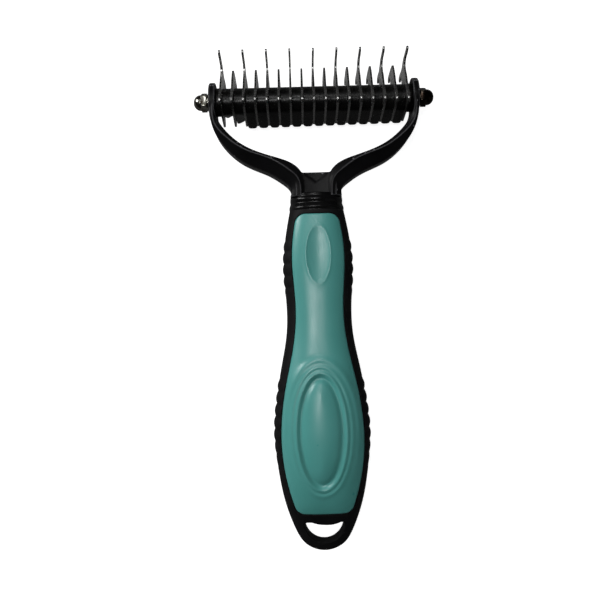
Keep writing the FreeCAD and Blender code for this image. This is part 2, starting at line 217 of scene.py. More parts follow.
HUB_NOTCH_HALF = 6.4         # half width of the hollow at the hub's top
HUB_NOTCH_EDGE = (-0.1, 1.1)         # distances above the V over which the surface falls
HUB_EDGE = 0.7
HUB_OVERLAP = 1.0            # how far the hub and the shank reach past the collar's top, to join
HUB_MESH = (97, 61)          # columns and rows
SHANK_HALF = (6.7, 4.3)
SHANK_END = -77.8
YOKE_VOXEL = 0.26
YOKE_SMOOTHING = (0.5, 7)    # factor and rounds
# --- blade pack ---
PLATE_COUNT = 17
PLATE_THICKNESS = 0.8
PITCH = 4.8
PACK_LEAN = 11.8
PACK_TWIST = 0.36
CAM_HUB_R = 5.6
CAM_TAIL_AT = (-11.2, -4.8)
CAM_TAIL_R = 1.5
CAM_EDGE = 0.3
CAM_POINTS = (56, 20, 14)    # round the hub, round the tail and along a flank
CAM_ROWS = 25
CAM_CROWN = 0.75             # how much the middle of a cam's tail stands proud of its rims
CAM_TURNS = {1: 31.0, 2: 17.0}   # degrees by which the first two spacers have slipped round the rod
CAM_DRAG = 5.0               # degrees by which a slipped one is twisted from its middle to its rims


# ---------------------------------------------------------------- geometry helpers

def place(points):
    """Points in millimetres from the rod, as metres in the frame."""
    return np.asarray(points, float) * MM + np.array(ROD)


def spline(knots, values):
    """Natural cubic spline through (knot, value) pairs, as a function of arrays. Knots may fall."""
    order = np.argsort(knots)
    t, y = np.asarray(knots, float)[order], np.asarray(values, float)[order]
    h = np.diff(t)
    count = len(t)
    system, right = np.eye(count), np.zeros(count)
    for i in range(1, count - 1):
        system[i, i - 1:i + 2] = h[i - 1], 2 * (h[i - 1] + h[i]), h[i]
        right[i] = 6 * ((y[i + 1] - y[i]) / h[i] - (y[i] - y[i - 1]) / h[i - 1])
    m = np.linalg.solve(system, right)

    def value(at):
        at = np.asarray(at, float)
        i = np.clip(np.searchsorted(t, at) - 1, 0, count - 2)
        before, after = at - t[i], t[i + 1] - at
        bent = (m[i] * after ** 3 + m[i + 1] * before ** 3) / (6 * h[i])
        from_start = y[i] / h[i] - m[i] * h[i] / 6
        from_end = y[i + 1] / h[i] - m[i + 1] * h[i] / 6
        return bent + from_start * after + from_end * before

    return value


def smoothstep(low, high, x):
    t = np.clip((x - low) / (high - low), 0, 1)
    return t * t * (3 - 2 * t)


def stations(*breaks):
    """Rising or falling values from (start, step), (next, step), ... (end,) breaks, ends included."""
    values = []
    for (start, step), (end, *_) in zip(breaks[:-1], breaks[1:]):
        count = max(1, round(abs(end - start) / step))
        values.extend(np.linspace(start, end, count, endpoint=False))
    return np.array(values + [breaks[-1][0]])


def grid_faces(rows, columns, ring=False, first=0):
    """Quads of a grid of vertices numbered row by row. ring joins the last column to the first."""
    across = columns if ring else columns - 1
    r, c = np.meshgrid(np.arange(rows - 1), np.arange(across), indexing="ij")
    n = (c + 1) % columns
    here, below = r * columns, (r + 1) * columns
    quads = np.stack([here + c, here + n, below + n, below + c], -1)
    return (quads.reshape(-1, 4) + first).tolist()


def add_object(name, points, faces, weld=0.0):
    """A mesh object from points in millimetres, with its normals turned outwards."""
    mesh = bpy.data.meshes.new(name)
    mesh.from_pydata(place(points).tolist(), [], faces)
    bm = bmesh.new()
    bm.from_mesh(mesh)
    if weld:
        bmesh.ops.remove_doubles(bm, verts=bm.verts, dist=weld * MM)
    bmesh.ops.recalc_face_normals(bm, faces=bm.faces)
    bm.to_mesh(mesh)
    bm.free()
    thing = bpy.data.objects.new(name, mesh)
    bpy.context.scene.collection.objects.link(thing)
    return thing


def ring_solid(name, rings, weld=0.0):
    """Closed mesh from rings of points, all with the same count, with flat ends."""
    rings = np.asarray(rings, float)
    rows, columns = rings.shape[:2]
    faces = grid_faces(rows, columns, ring=True)
    faces.append(list(range(columns)))
    faces.append(list(range((rows - 1) * columns, rows * columns)))
    return add_object(name, rings.reshape(-1, 3), faces, weld)


def slab_solid(name, top, bottom):
    """Closed mesh between two grids of points that have the same rows and columns."""
    rows, columns = top.shape[:2]
    count = rows * columns
    faces = grid_faces(rows, columns) + grid_faces(rows, columns, first=count)
    rim = list(range(columns))
    rim += [r * columns + columns - 1 for r in range(1, rows)]
    rim += [(rows - 1) * columns + c for c in range(columns - 2, -1, -1)]
    rim += [r * columns for r in range(rows - 2, 0, -1)]
    for a, b in zip(rim, rim[1:] + rim[:1]):
        faces.append([a, b, b + count, a + count])
    return add_object(name, np.concatenate([top.reshape(-1, 3), bottom.reshape(-1, 3)]), faces)


def circle(x, radius, count):
    """Ring of points round the rod's line."""
    angle = np.arange(count) * 2 * math.pi / count
    return np.column_stack([np.full(count, x), radius * np.cos(angle), radius * np.sin(angle)])


def bake_modifiers(thing):
    """Replaces an object's mesh by what its modifiers make of it, and drops them."""
    bpy.context.view_layer.update()
    graph = bpy.context.evaluated_depsgraph_get()
    mesh = bpy.data.meshes.new_from_object(thing.evaluated_get(graph), depsgraph=graph)
    thing.modifiers.clear()
    thing.data = mesh


def cut_away(thing, cutter):
    """Takes the cutter's volume out of an object, and removes the cutter."""
    cut = thing.modifiers.new("cut", "BOOLEAN")
    cut.operation = "DIFFERENCE"
    cut.solver = "EXACT"
    cut.object = cutter
    bake_modifiers(thing)
    bpy.data.objects.remove(cutter)


def shade(thing, degrees):
    """Smooth shading, with creases where faces meet at more than this angle."""
    thing.data.shade_smooth()
    thing.data.set_sharp_from_angle(angle=math.radians(degrees))


def finish_piece(thing, body, material, replaced, crease=40):
    """Shades a piece, paints it, and puts it on its body in the place of a CAD node."""
    shade(thing, crease)
    thing.data.materials.clear()
    thing.data.materials.append(material)
    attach(thing, body)
    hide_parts(replaced)


# ---------------------------------------------------------------- handle surface

HANDLE_Y = [station[0] for station in HANDLE]
width_squared = spline(HANDLE_Y, [half ** 2 for _, half, _ in HANDLE])
half_depth = spline(HANDLE_Y, [deep for _, _, deep in HANDLE])
panel_side = spline([y for y, _ in PANEL], [half for _, half in PANEL])


def half_width(y):
    return np.sqrt(np.maximum(width_squared(y), 0.0))


def oval_height(share):
    """Height of an oval section, as a share of its half thickness, at a share of its half width."""
    return (1 - np.clip(np.abs(share), 0, 1) ** ROUNDNESS) ** (1 / ROUNDNESS)


def face_height(x, y):
    """Height of the plain handle surface above the middle plane."""
    return half_depth(y) * oval_height(x / half_width(y))


def panel_half(y):
    """Half width of the panel's outline, rounded corners included."""
    top_radius, end_radius = PANEL_CORNERS
    top_drop, end_drop = rounded_drop(PANEL_TOP - y, top_radius), rounded_drop(y - PANEL_END, end_radius)
    return panel_side(y) - top_drop - end_drop


def panel_slant(y):
    """How much longer a step across the panel's outline is than the distance to the outline."""
    step = 0.05
    low, high = np.maximum(y - step, PANEL_END), np.minimum(y + step, PANEL_TOP)
    slope = (panel_half(high) - panel_half(low)) / (high - low)
    return np.sqrt(1 + slope ** 2)


def rounded_drop(inside, radius):
    """How far a rounded edge has dropped at a distance inside the edge."""
    near = np.clip(radius - inside, 0, radius)
    return radius - np.sqrt(np.maximum(radius ** 2 - near ** 2, 0.0))


def palm_reach(x, y):
    """Half width of the palm oval that passes through a point."""
    low, high = (np.full(np.shape(x), limit) for limit in PALM_SEARCH)
    for _ in range(PALM_HALVINGS):
        middle = (low + high) / 2
        grown = PALM_HALF[1] + (middle - PALM_HALF[0]) * PALM_STRETCH
        long_half = np.maximum(grown, middle * PALM_LEAST_LONG)
        outside = ((x - PALM_AT[0]) / middle) ** 2 + ((y - PALM_AT[1]) / long_half) ** 2 > 1
        low, high = np.where(outside, middle, low), np.where(outside, high, middle)
    return (low + high) / 2


def relief(x, y):
    """What the panel's moulded pattern adds to the plain surface."""
    share = np.sqrt((x / THUMB_HALF[0]) ** 2 + ((y - THUMB_AT) / THUMB_HALF[1]) ** 2)
    bowl = THUMB_DEPTH * (1 - share ** 2)
    dish = -(bowl + np.sqrt(bowl ** 2 + THUMB_SOFTNESS ** 2)) / 2
    dish += THUMB_RIM * np.exp(-((share - THUMB_RIM_AT) * THUMB_HALF[0] / THUMB_RIM_SPREAD) ** 2)
    reach = palm_reach(x, y)
    top, fall = PALM_DOME
    palm = top - fall * np.minimum(reach / PALM_HALF[0], 1) ** 2
    palm = np.where(reach < PALM_HALF[0], palm, (top - fall) * (1 - smoothstep(*PALM_WALL, reach)))
    for half, height, spread in PALM_ROUNDS:
        palm = palm + height * np.exp(-((reach - half) / spread) ** 2)
    half, height, spread = PALM_CREST
    crest = height * smoothstep(*PALM_CREST_FADE, y) * np.exp(-((reach - half) / spread) ** 2)
    return dish + palm + crest


def panel_rows():
    """Distances down the panel, closer together at its ends."""
    top = [PANEL_TOP - step for step in PANEL_END_ROWS]
    end = [PANEL_END + step for step in reversed(PANEL_END_ROWS)]
    return np.concatenate([top[:-1], stations((top[-1], ROW_STEP), (end[0],)), end[1:]])


def panel_piece(name, side, material):
    """A panel's shell: side 1 for the front and -1 for the back."""
    edge = np.array(PANEL_SIDE_COLUMNS)
    middle = np.linspace(-1, 1, PANEL_COLUMNS)
    points = []
    for y in panel_rows():
        slant = float(panel_slant(y))
        half = float(panel_half(y)) - SEAM * slant
        steps = np.minimum(edge * slant, half * PANEL_SIDE_SHARE * edge / edge[-1])
        inner = half - steps[-1]
        xs = np.concatenate([-half + steps[:-1], inner * middle, (half - steps[:-1])[::-1]])
        inside = np.minimum((half - np.abs(xs)) / slant, min(PANEL_TOP - y, y - PANEL_END))
        ys = np.full_like(xs, y)
        height = face_height(xs, ys) + relief(xs, ys) - rounded_drop(inside, PANEL_EDGE)
        points.append(np.stack([xs, ys, side * height], -1))
    top = np.array(points)
    bottom = top.copy()
    bottom[:, :, 2] -= side * PANEL_THICKNESS
    finish_piece(slab_solid(name, top, bottom), "handle", material, name, crease=50)


# ---------------------------------------------------------------- grip

def grip_rows():
    """Outline points down one side of the handle, and where on its axis each one's row starts."""
    lip = [GRIP_LIP * share for share in LIP_STEPS]
    top = [PANEL_TOP + SEAM + step for step in lip] + [PANEL_TOP + SEAM - WALL_STEP]
    end = [PANEL_END - SEAM + WALL_STEP] + [PANEL_END - SEAM - step for step in reversed(lip)]
    corner_rows = (PANEL_TOP - CORNER_LENGTH, ROW_STEP), (PANEL_END + CORNER_LENGTH, CORNER_STEP)
    ys = np.concatenate([
        stations((HANDLE_TOP, NECK_STEP), (top[0],))[:-1],
        top[:-1],
        stations((top[-1], CORNER_STEP), *corner_rows, (end[0],)),
        end[1:-1],
        stations((end[-1], ROW_STEP), (ROUND_FROM,)),
    ])
    outline = [(float(half_width(y)), float(y)) for y in ys]
    spine = [float(y) for y in ys]
    for i in range(1, ROUND_END_ROWS + 1):
        y = ROUND_FROM + (HANDLE_END - ROUND_FROM) * math.sin(i / ROUND_END_ROWS * math.pi / 2)
        outline.append((float(half_width(y)), y))
        spine.append(ROUND_FROM)
    return outline, spine


def rib_height(y, lift):
    """Height of the side ribs. lift is the height over the middle plane, as a share of the thickness."""
    total = np.zeros(np.shape(lift))
    for first, last, pitch, height, end in RIBS:
        fade = smoothstep(last - end, last, y) * (1 - smoothstep(first, first + RIB_START, y))
        wave = abs(math.cos(math.pi * (y - first) / pitch)) ** RIB_POWER
        total += height * fade * (wave - RIB_SINK)
    return total * (1 - smoothstep(*RIB_FADE, np.abs(lift)))


def grip_drop(edge_y, away, on_floor):
    """How far a row of the grip lies under the plain surface. away is the distance from the wall."""
    past_end = max(edge_y - PANEL_TOP - SEAM, PANEL_END - SEAM - edge_y)
    gap = np.where(away > 0, np.hypot(away, max(past_end, 0.0)), past_end)
    drop = np.where(gap < 0, RECESS, rounded_drop(np.maximum(gap, 0), GRIP_LIP))
    return np.where(on_floor & (past_end < 0), RECESS, drop)


def grip_ring(edge_x, edge_y, spine_y):
    """Ring round the grip from its outline point: side, lip and floor, on each face and each side."""
    panel_y = min(max(edge_y, PANEL_END), PANEL_TOP)
    slant = float(panel_slant(panel_y))
    reach = math.hypot(edge_x, edge_y - spine_y)
    wall = min((float(panel_half(panel_y)) + SEAM) / float(half_width(panel_y)), WALL_MOST)
    lip = np.array(LIP_STEPS) * GRIP_LIP
    lip_shares = wall + lip / max(reach, TINY) * min(slant, SLANT_MOST)
    outer_angle = math.acos(min(lip_shares[0], LIP_MOST) ** (ROUNDNESS / 2))
    side = np.cos(np.linspace(0, outer_angle, SIDE_COLUMNS, endpoint=False)) ** (2 / ROUNDNESS)
    floor = wall * np.cos(np.linspace(FLOOR_FROM, math.pi / 2, FLOOR_COLUMNS))
    shares = np.concatenate([side, lip_shares, floor])
    x = shares * edge_x
    y = spine_y + shares * (edge_y - spine_y)
    lift = oval_height(shares)
    height = half_depth(y) * lift
    if spine_y == edge_y:
        on_floor = np.arange(len(shares)) >= len(side) + len(lip)
        height = height - grip_drop(edge_y, (shares - wall) * reach / slant, on_floor)
        x = x + rib_height(edge_y, lift)
    right = np.stack([x, y, height], -1)
    lower = (right * (1, 1, -1))[::-1]
    half_ring = np.concatenate([lower, right[1:]])
    other = (half_ring * (-1, 1, 1))[::-1]
    return np.concatenate([half_ring, other[1:-1]])


def grip_piece(material):
    rings = [grip_ring(*edge, spine_y) for edge, spine_y in zip(*grip_rows())]
    thing = ring_solid("grip_frame", rings, weld=WELD)
    cut_away(thing, hole_cutter())
    finish_piece(thing, "handle", material, "grip_frame", crease=38)


def hole_outline():
    """Points of the D-shaped hole with outward normals, flat towards the head."""
    bottom = LOOP_TOP - LOOP_DEPTH
    shoulder = LOOP_TOP - LOOP_CORNER
    sag = shoulder - bottom
    radius = (LOOP_HALF ** 2 + sag ** 2) / (2 * sag)
    swing = math.asin(LOOP_HALF / radius)
    turn_from = swing - math.pi / 2
    corner_x = LOOP_HALF - LOOP_CORNER * math.cos(turn_from)
    corner_y = shoulder - LOOP_CORNER * math.sin(turn_from)
    points, normals = [], []

    def add_arc(centre_x, centre_y, reach, angles):
        """Angles are from X towards the head."""
        for angle in angles:
            points.append((centre_x + reach * math.cos(angle), centre_y + reach * math.sin(angle)))
            normals.append((math.cos(angle), math.sin(angle)))

    around = np.linspace(-swing, swing, LOOP_ARC_POINTS) - math.pi / 2
    add_arc(0.0, bottom + radius, radius, around)
    corner = np.linspace(turn_from, math.pi / 2, LOOP_CORNER_POINTS)
    add_arc(corner_x, corner_y, LOOP_CORNER, corner[1:])
    flat_half, flat_y = points[-1]
    for x in np.linspace(flat_half, -flat_half, LOOP_FLAT_POINTS)[1:-1]:
        points.append((x, flat_y))
        normals.append((0.0, 1.0))
    add_arc(-corner_x, corner_y, LOOP_CORNER, (math.pi - corner[::-1])[:-1])
    return np.array(points), np.array(normals)


def hole_cutter():
    """Tool that cuts the hanging hole and rounds its rims."""
    points, normals = hole_outline()
    surface = []
    for x, y in points:
        share = math.hypot(x, min(0.0, y - ROUND_FROM)) / float(half_width(max(y, ROUND_FROM)))
        surface.append(float(half_depth(y)) * float(oval_height(share)))
    surface = np.array(surface)
    foot = math.sin(LOOP_RIM_SWEEP)
    profile = [(LOOP_RIM * (1 - math.cos(angle)), LOOP_RIM * (math.sin(angle) - foot))
               for angle in np.linspace(0, LOOP_RIM_SWEEP, LOOP_RIM_STEPS)]
    profile.append((profile[-1][0] + BEYOND * foot, BEYOND * math.cos(LOOP_RIM_SWEEP)))
    rings = []
    for side, steps in ((-1, profile[::-1]), (1, profile)):
        for out, up in steps:
            rings.append(np.column_stack([points + normals * out, side * (surface + up)]))
    return ring_solid("hole_cutter", rings)


# ---------------------------------------------------------------- collar

def oval_ring(y, half_x, half_z, roundness, count=128):
    """Ring of points across the handle. roundness is the power of the oval, 2 for an ellipse."""
    angle = (np.arange(count) + 0.5) * 2 * math.pi / count
    c, s = np.cos(angle), np.sin(angle)
    power = 2 / roundness
    x, z = half_x * np.sign(c) * np.abs(c) ** power, half_z * np.sign(s) * np.abs(s) ** power
    return np.stack([x, np.full(count, y), z], -1)


def collar_piece(material):
    """Neck collar with two rounded rings, flared to meet the grip."""
    rings = []
    fine, coarse = COLLAR_STEPS
    rows = (COLLAR_TOP, fine), (COLLAR_TOP - COLLAR_FINE, coarse), (HANDLE_TOP - COLLAR_OVERLAP,)
    for y in stations(*rows):
        bulge = 0.0
        for ring_y in COLLAR_RINGS:
            away = min(abs(y - ring_y) / RING_HALF_WIDTH, 1.0)
            bulge += RING_HEIGHT * math.cos(away * math.pi / 2) ** RING_POWER
        meet = float(smoothstep(0, COLLAR_MEET, COLLAR_RINGS[0] - y))
        half_x = COLLAR_HALF[0] + (HANDLE[0][1] - COLLAR_HALF[0]) * meet + RING_SIDE * bulge
        half_z = COLLAR_HALF[1] + (HANDLE[0][2] - COLLAR_HALF[1]) * meet + bulge
        drop = float(rounded_drop(np.array(COLLAR_TOP - y), COLLAR_EDGE))
        roundness = COLLAR_ROUNDNESS + (ROUNDNESS - COLLAR_ROUNDNESS) * meet ** 3
        rings.append(oval_ring(y, half_x - drop, half_z - drop, roundness))
    finish_piece(ring_solid("neck_collar", rings), "handle", material, "neck_collar")


# ---------------------------------------------------------------- yoke

def rounded_polygon(corners, radius, steps=6, most=0.45):
    """A closed polygon with each corner rounded off, over at most a share of its sides.

    radius has one value per corner.
    """
    corners = np.asarray(corners, float)
    points = []
    for i, corner in enumerate(corners):
        before, after = corners[i - 1] - corner, corners[(i + 1) % len(corners)] - corner
        long_before, long_after = np.linalg.norm(before), np.linalg.norm(after)
        before, after = before / long_before, after / long_after
        half_angle = math.acos(float(np.clip(before @ after, -1, 1))) / 2
        cut = min(radius[i] / max(math.tan(half_angle), TINY), most * long_before, most * long_after)
        start, end = corner + before * cut, corner + after * cut
        for t in np.linspace(0, 1, steps):
            points.append((1 - t) ** 2 * start + 2 * t * (1 - t) * corner + t ** 2 * end)
    return np.array(points)


def arm_solid(side):
    """One arm of the fork: side 1 for +X and -1 for -X."""
    rows = np.array([[*inner, *outer, *depths, ridge] for inner, outer, depths, ridge in ARM])
    middles = (rows[:, 0:2] + rows[:, 2:4]) / 2
    along = np.concatenate([[0], np.cumsum(np.linalg.norm(np.diff(middles, axis=0), axis=1))])
    curves = [spline(along, rows[:, column]) for column in range(rows.shape[1])]
    at_inner, at_ridge, at_foot, at_outer = ARM_RADII
    radii = (at_inner, at_inner, at_ridge, at_foot, at_outer, at_outer, at_foot, at_ridge)
    rings = []
    for t in np.linspace(0, along[-1], ARM_ROWS):
        in_x, in_y, out_x, out_y, *depths, ridge = (float(curve(t)) for curve in curves)
        deep_in, deep_ridge, deep_out = depths
        inner, outer = np.array([in_x, in_y]), np.array([out_x, out_y])
        across = np.linalg.norm(outer - inner)
        step = RIDGE_STEP[1] * (1 - 2 / 3 * float(smoothstep(*RIDGE_FADE, t / along[-1])))
        foot, deep_foot = ridge + RIDGE_STEP[0], deep_ridge - step
        deep_out = min(deep_out, deep_foot)
        corners = [(0, -deep_in), (0, deep_in), (ridge, deep_ridge), (foot, deep_foot),
                   (across, deep_out), (across, -deep_out), (foot, -deep_foot), (ridge, -deep_ridge)]
        flat = rounded_polygon(corners, radii)
        xy = inner + np.outer(flat[:, 0], (outer - inner) / across)
        rings.append(np.column_stack([side * xy[:, 0], xy[:, 1], flat[:, 1]]))
    return ring_solid("arm", rings)


def ear_solid(side):
    """Round end of an arm, with its outer rim rounded."""
    profile = [
        (EAR_IN, EAR_CHAMFER),
        (EAR_IN + EAR_CHAMFER, 0.0),
        (EAR_OUT - EAR_EDGE, 0.0),
        (EAR_OUT - 0.4 * EAR_EDGE, 0.2 * EAR_EDGE),
        (EAR_OUT, 0.9 * EAR_EDGE),
    ]
    return ring_solid("ear", [circle(side * x, EAR_R - drop, EAR_COLUMNS) for x, drop in profile])


def hub_solid():
    """Web between the arms, hollowed by a shallow V on both faces."""
    columns, rows = HUB_MESH
    xs = np.linspace(-HUB_HALF, HUB_HALF, columns)
    x, y = np.meshgrid(xs, np.linspace(COLLAR_TOP - HUB_OVERLAP, HUB_TOP, rows))
    rise = (HUB_TOP - HUB_NOTCH) / HUB_NOTCH_HALF
    above = y - (HUB_NOTCH + rise * np.abs(x))
    sag = HUB_SAG * (1 - (x / HUB_HALF) ** 2)
    height = HUB_HALF_Z - sag - HUB_NOTCH_DEPTH * smoothstep(*HUB_NOTCH_EDGE, above)
    height -= rounded_drop(HUB_TOP - y, HUB_EDGE)
    top = np.stack([x, y, height], -1)
    return slab_solid("hub", top, top * (1, 1, -1))


def box_ring(y, half_x, half_z):
    return [(-half_x, y, -half_z), (half_x, y, -half_z), (half_x, y, half_z), (-half_x, y, half_z)]


def yoke_piece(material):
    """Arms, ears, hub and shank grown into one moulding, with small fillets where they meet."""
    parts = [arm_solid(1), arm_solid(-1), ear_solid(1), ear_solid(-1), hub_solid()]
    shank = [box_ring(y, *SHANK_HALF) for y in (COLLAR_TOP + HUB_OVERLAP, SHANK_END)]
    parts.append(ring_solid("shank", shank))
    merged = bmesh.new()
    for part in parts:
        merged.from_mesh(part.data)
        bpy.data.objects.remove(part)
    mesh = bpy.data.meshes.new("yoke")
    merged.to_mesh(mesh)
    merged.free()
    yoke = bpy.data.objects.new("yoke_moulding", mesh)
    bpy.context.scene.collection.objects.link(yoke)
    grow = yoke.modifiers.new("grow", "REMESH")
    grow.mode = "VOXEL"
    grow.voxel_size = YOKE_VOXEL * MM
    ease = yoke.modifiers.new("ease", "SMOOTH")
    ease.factor, ease.iterations = YOKE_SMOOTHING
    bake_modifiers(yoke)
    bore_end = EAR_OUT + BEYOND
    cut_away(yoke, ring_solid("bore", [circle(x, BORE_R, BORE_COLUMNS) for x in (-bore_end, bore_end)]))
    finish_piece(yoke, "handle", material, "yoke", crease=60)


# ---------------------------------------------------------------- spacers

def cam_ring(x, shrink, crown):
    """Outline of a cam spacer at x: round hub, straight flanks, rounded tail."""
    hub_r, tail_r = CAM_HUB_R - shrink, CAM_TAIL_R - shrink - crown
    reach = math.hypot(*CAM_TAIL_AT)
    towards = math.atan2(CAM_TAIL_AT[1], CAM_TAIL_AT[0])
    spread = math.acos((hub_r - tail_r) / reach)
    hub_points, tail_points, flank_points = CAM_POINTS
    hub_angles = np.linspace(towards + spread, towards + 2 * math.pi - spread, hub_points)
    tail_angles = np.linspace(towards - spread, towards + spread, tail_points)
    hub = np.stack([hub_r * np.cos(hub_angles), hub_r * np.sin(hub_angles)], -1)
    tail = np.stack([CAM_TAIL_AT[0] + tail_r * np.cos(tail_angles),
                     CAM_TAIL_AT[1] + tail_r * np.sin(tail_angles)], -1)
    flank = np.linspace(0, 1, flank_points)[1:-1, None]
    lower = hub[-1] + (tail[0] - hub[-1]) * flank
    upper = tail[-1] + (hub[0] - tail[-1]) * flank
    outline = np.concatenate([hub, lower, tail, upper])
    return np.column_stack([np.full(len(outline), x), outline[:, 1], outline[:, 0]])


def turned(points, degrees):
    """Points turned about the rod, the head's top going back."""
    c, s = math.cos(math.radians(degrees)), math.sin(math.radians(degrees))
    x, y, z = points[..., 0], points[..., 1], points[..., 2]
    return np.stack([x, y * c + z * s, z * c - y * s], -1)


def spacer_piece(number, material):
    """Cam spacer, numbered from -X. Its tail lies along the plates' base edge unless it has slipped."""
    where = number - 0.5 - PLATE_COUNT // 2
    half = (PITCH - PLATE_THICKNESS) / 2
    slipped = CAM_TURNS.get(number, 0.0)
    rings = []
    for share in np.sin(np.linspace(-math.pi / 2, math.pi / 2, CAM_ROWS)):
        x = share * half
        shrink = float(rounded_drop(np.array(half - abs(x)), CAM_EDGE))
        drag = CAM_DRAG * share if slipped else 0.0
        lean = PACK_LEAN - PACK_TWIST * where - slipped - drag
        ring = cam_ring(x + where * PITCH, shrink, CAM_CROWN * share ** 4)
        rings.append(turned(ring, lean))
    name = f"spacer_{number}"
    finish_piece(ring_solid(name, rings), "blade_pack", material, name, crease=45)


# ---------------------------------------------------------------- CAD nodes that show as they are

def dress_node(name, material, bevel, crease=35):
    """Gives a CAD node its material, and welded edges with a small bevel."""
    thing = NODES[name]
    thing.data.materials.clear()
    thing.data.materials.append(material)
    weld = thing.modifiers.new("weld", "WELD")
    weld.merge_threshold = WELD * MM
    if bevel:
        round_off = thing.modifiers.new("bevel", "BEVEL")
        round_off.width = bevel * MM
        round_off.segments = 2
        round_off.limit_method = "ANGLE"
        round_off.angle_limit = math.radians(crease)
        round_off.use_clamp_overlap = True
        round_off.harden_normals = False
    thing.data.shade_smooth()


# ---------------------------------------------------------------- materials

THREAD_PITCH = 0.7
BANDS_PER_SCALE = 3.2        # bands in a metre of a wave texture, for each 1 of its scale


class Paint:
    """A node material round one Principled shader, with short calls for its procedural nodes."""

    def __init__(self, name, colour, roughness, **sockets):
        self.material = bpy.data.materials.new(name)
        self.material.use_nodes = True
        self.nodes = self.material.node_tree.nodes
        self.links = self.material.node_tree.links
        self.shader = self.nodes["Principled BSDF"]
        self.shader.inputs["Base Color"].default_value = (*colour, 1)
        self.shader.inputs["Roughness"].default_value = roughness
        for socket, value in sockets.items():
            self.shader.inputs[socket.replace("_", " ")].default_value = value
        self.coordinates = self.nodes.new("ShaderNodeTexCoord").outputs["Object"]
        self.bump = None

    def noise(self, size, detail=3.0, stretch=(1, 1, 1)):
        """Noise with features of about size millimetres, stretched along the axes."""
        scale = self.nodes.new("ShaderNodeMapping")
        scale.inputs["Scale"].default_value = [1 / (s * MM * size) for s in stretch]
        self.links.new(self.coordinates, scale.inputs["Vector"])
        noise = self.nodes.new("ShaderNodeTexNoise")
        noise.inputs["Scale"].default_value = 1.0
        noise.inputs["Detail"].default_value = detail
        self.links.new(scale.outputs["Vector"], noise.inputs["Vector"])
        return noise.outputs["Fac"]

    def ramp(self, source, low, high, to_low, to_high):
        """Maps source from low..high to to_low..to_high, clamped."""
        node = self.nodes.new("ShaderNodeMapRange")
        node.inputs["From Min"].default_value = low
        node.inputs["From Max"].default_value = high
        node.inputs["To Min"].default_value = to_low
        node.inputs["To Max"].default_value = to_high
        self.links.new(source, node.inputs["Value"])
        return node.outputs["Result"]

    def mix(self, factor, colour_a, colour_b):
        """Mixes two colours. Either may be a socket."""
        node = self.nodes.new("ShaderNodeMix")
        node.data_type = "RGBA"
        for socket, colour in ((node.inputs[6], colour_a), (node.inputs[7], colour_b)):
            if isinstance(colour, bpy.types.NodeSocket):
                self.links.new(colour, socket)
            else:
                socket.default_value = (*colour, 1)
        self.links.new(factor, node.inputs[0])
        return node.outputs[2]

    def facing_x(self, low, high):
        """0 on faces that look across X, such as a plate's cut edges, to 1 on faces that look along X."""
        split = self.nodes.new("ShaderNodeSeparateXYZ")
        self.links.new(self.nodes["Texture Coordinate"].outputs["Normal"], split.inputs["Vector"])
        size = self.nodes.new("ShaderNodeMath")
        size.operation = "ABSOLUTE"
        self.links.new(split.outputs["X"], size.inputs[0])
        return self.ramp(size.outputs[0], low, high, 0, 1)

    def colour(self, source):
        self.links.new(source, self.shader.inputs["Base Color"])

    def roughness(self, source):
        self.links.new(source, self.shader.inputs["Roughness"])

    def raise_by(self, source, height, strength=1.0):
        """Adds a bump of height millimetres to what was raised before."""
        node = self.nodes.new("ShaderNodeBump")
        node.inputs["Strength"].default_value = strength
        node.inputs["Distance"].default_value = height * MM
        self.links.new(source, node.inputs["Height"])
        if self.bump is not None:
            self.links.new(self.bump, node.inputs["Normal"])
        self.bump = node.outputs["Normal"]
        self.links.new(self.bump, self.shader.inputs["Normal"])

    def edge_wear_and_highlight(self, low, high):
        """0 on flats to 1 on the sharpest edges. It lightens edges as wear, and on the yoke also as a
        painted highlight.
        """
        geometry = self.nodes.new("ShaderNodeNewGeometry")
        return self.ramp(geometry.outputs["Pointiness"], low, high, 0, 1)


def teal_plastic():
    paint = Paint("teal_plastic", (0.075, 0.3, 0.276), 0.3, IOR=1.47, Specular_IOR_Level=0.46)
    cloud = paint.ramp(paint.noise(16, 2), 0.3, 0.7, 0, 1)
    base = paint.mix(cloud, (0.071, 0.291, 0.266), (0.08, 0.31, 0.287))
    speck = paint.ramp(paint.noise(0.55, 2), 0.62, 0.78, 0, 0.35)
    paint.colour(paint.mix(speck, base, (0.063, 0.262, 0.24)))
    paint.roughness(paint.ramp(paint.noise(5, 4), 0.25, 0.75, 0.27, 0.34))
    paint.raise_by(paint.noise(0.28, 2), 0.006, 0.5)
    paint.raise_by(paint.noise(3.2, 3, (1, 3, 1)), 0.03, 0.35)
    return paint.material


def rubber():
    paint = Paint("grip_rubber", (0.0055, 0.0055, 0.006), 0.55, IOR=1.45, Specular_IOR_Level=0.1)
    cloud = paint.ramp(paint.noise(9, 3), 0.3, 0.7, 0, 1)
    base = paint.mix(cloud, (0.0045, 0.0045, 0.005), (0.0075, 0.0075, 0.008))
    paint.colour(paint.mix(paint.edge_wear_and_highlight(0.53, 0.62), base, (0.014, 0.014, 0.015)))
    paint.roughness(paint.ramp(paint.noise(3, 4), 0.25, 0.75, 0.5, 0.62))
    paint.raise_by(paint.noise(0.35, 3), 0.02, 0.7)
    return paint.material


